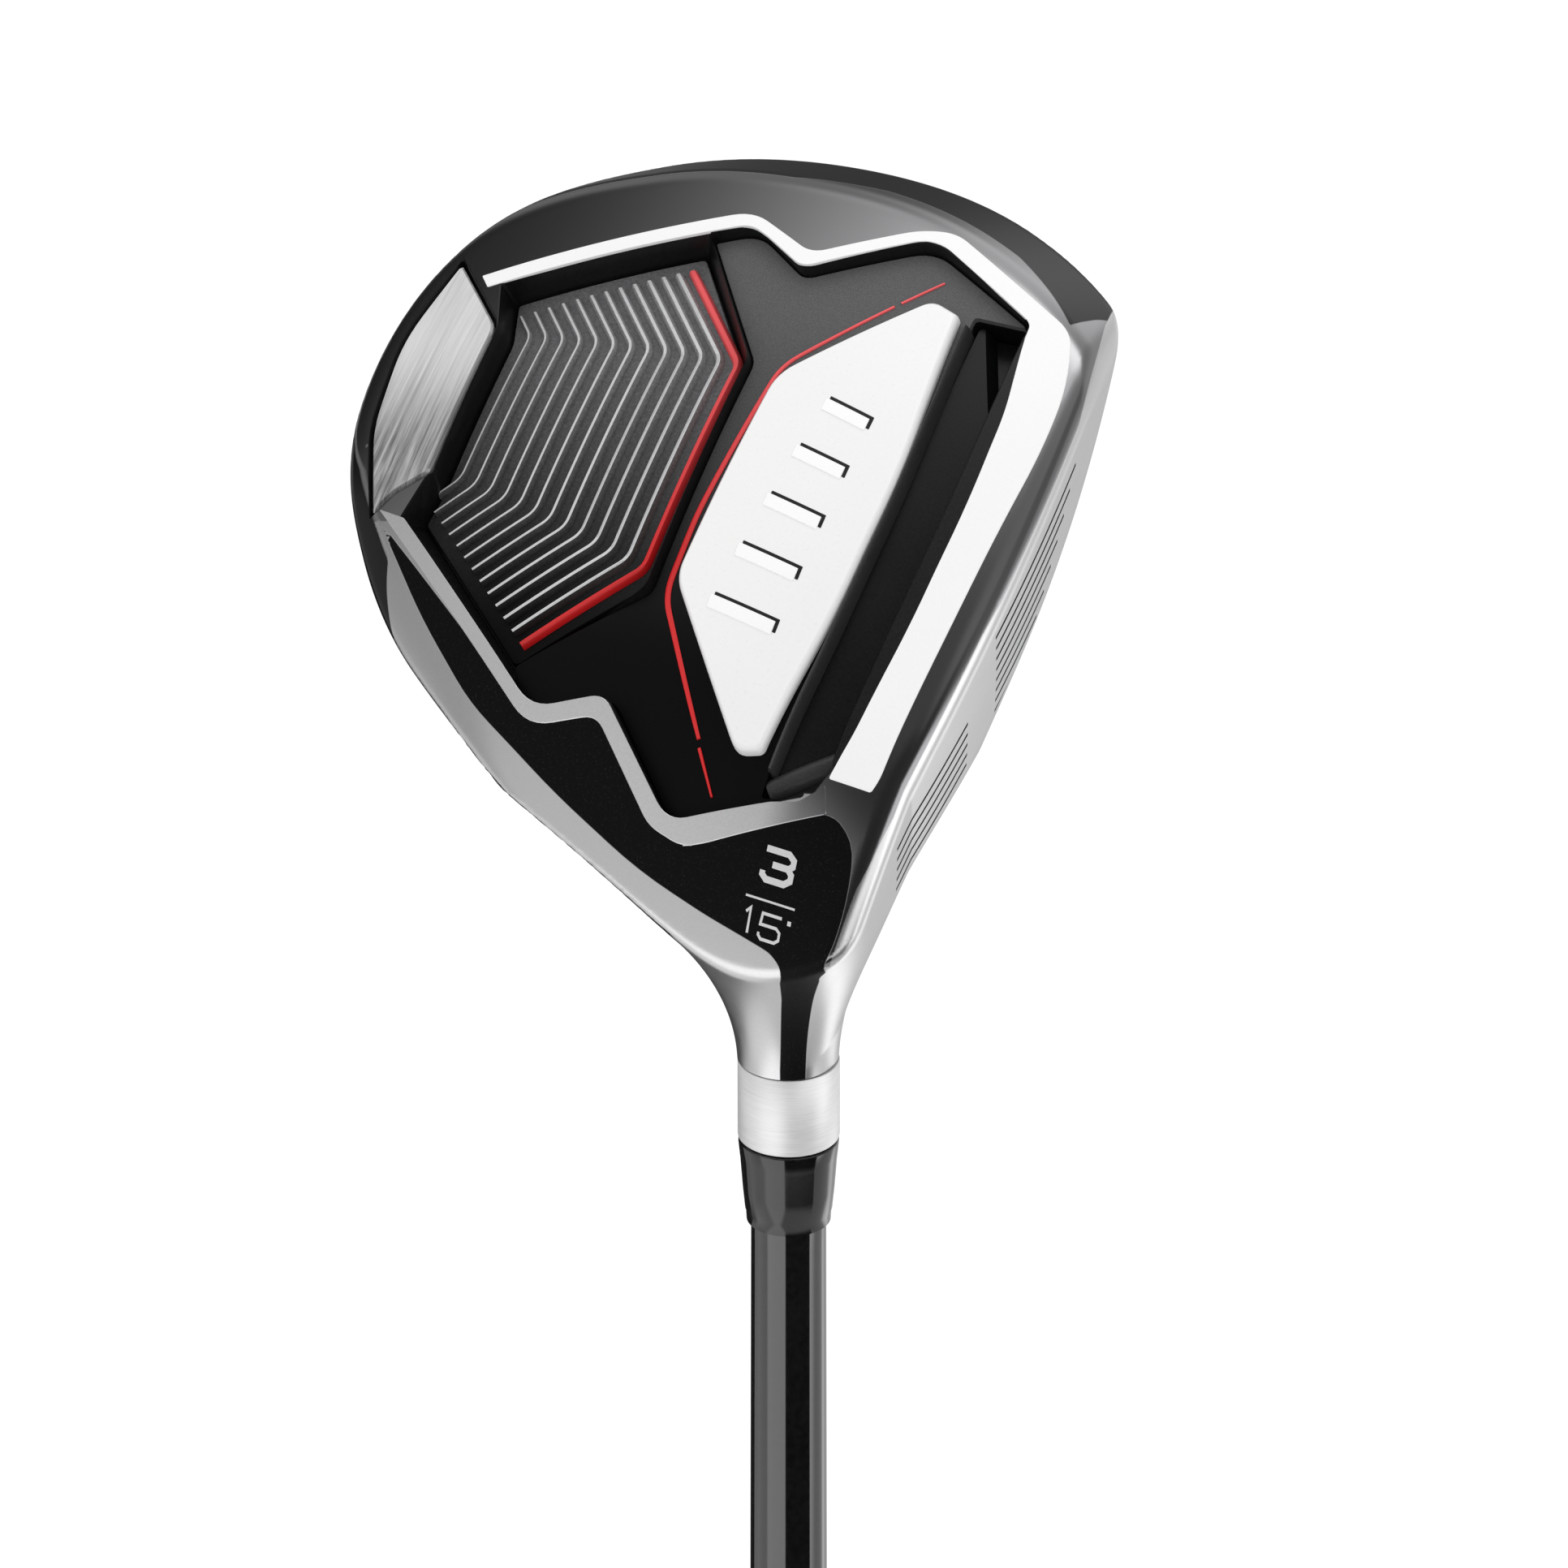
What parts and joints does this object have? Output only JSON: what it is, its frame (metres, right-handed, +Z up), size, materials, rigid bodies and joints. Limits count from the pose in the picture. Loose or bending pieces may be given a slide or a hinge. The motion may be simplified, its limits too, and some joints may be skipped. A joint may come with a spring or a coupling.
{
  "type": "fairway wood",
  "caption": "Steel-headed fairway wood with a slotted sole, a ribbed sole badge, a bonded tapered composite shaft and a rubber grip.",
  "frame": {"origin": "centre of the grip's butt face, on the shaft's axis", "axes": "+Z runs up the shaft's axis from the butt of the grip to the head; +X is the way the hitting face looks; -Y is the sole side and +Y the crown side of the head"},
  "size_m": [0.0949, 0.0856, 1.1239],
  "materials": {
    "painted_steel": "gloss black paint with satin black and white areas",
    "crown_paint": "gloss black",
    "face_steel": "blasted satin steel with score lines",
    "hosel_steel": "brushed round the axis",
    "slot_polymer": "satin black polymer",
    "weight_steel": "brushed steel",
    "inlay_polymer": "fine-grained dark grey satin with red lines",
    "badge_metal": "dark satin floor with bright ribs and one red rib",
    "panel_paint": "white satin gloss",
    "hot_melt": "amber hot melt",
    "ferrule_plastic": "polished black",
    "shaft_composite": "clear-coated black composite",
    "epoxy": "cured epoxy",
    "plug_brass": "machined",
    "tape": "double-sided tape",
    "grip_rubber": "moulded rubber with a fine texture",
    "cap_rubber": "smooth rubber"
  },
  "bodies": {
    "root": {"head_body": "painted_steel", "crown": "crown_paint", "face_plate": "face_steel", "hosel_sleeve": "hosel_steel", "slot_insert": "slot_polymer", "rear_weight": "weight_steel", "sole_inlay": "inlay_polymer", "ribbed_badge": "badge_metal", "centre_badge": "panel_paint", "hot_melt_pad": "hot_melt", "ferrule": "ferrule_plastic", "shaft": "shaft_composite", "hosel_epoxy": "epoxy", "tip_weight_plug": "plug_brass", "grip_tape": "tape", "grip": "grip_rubber", "grip_cap": "cap_rubber"}
  },
  "joints": []
}
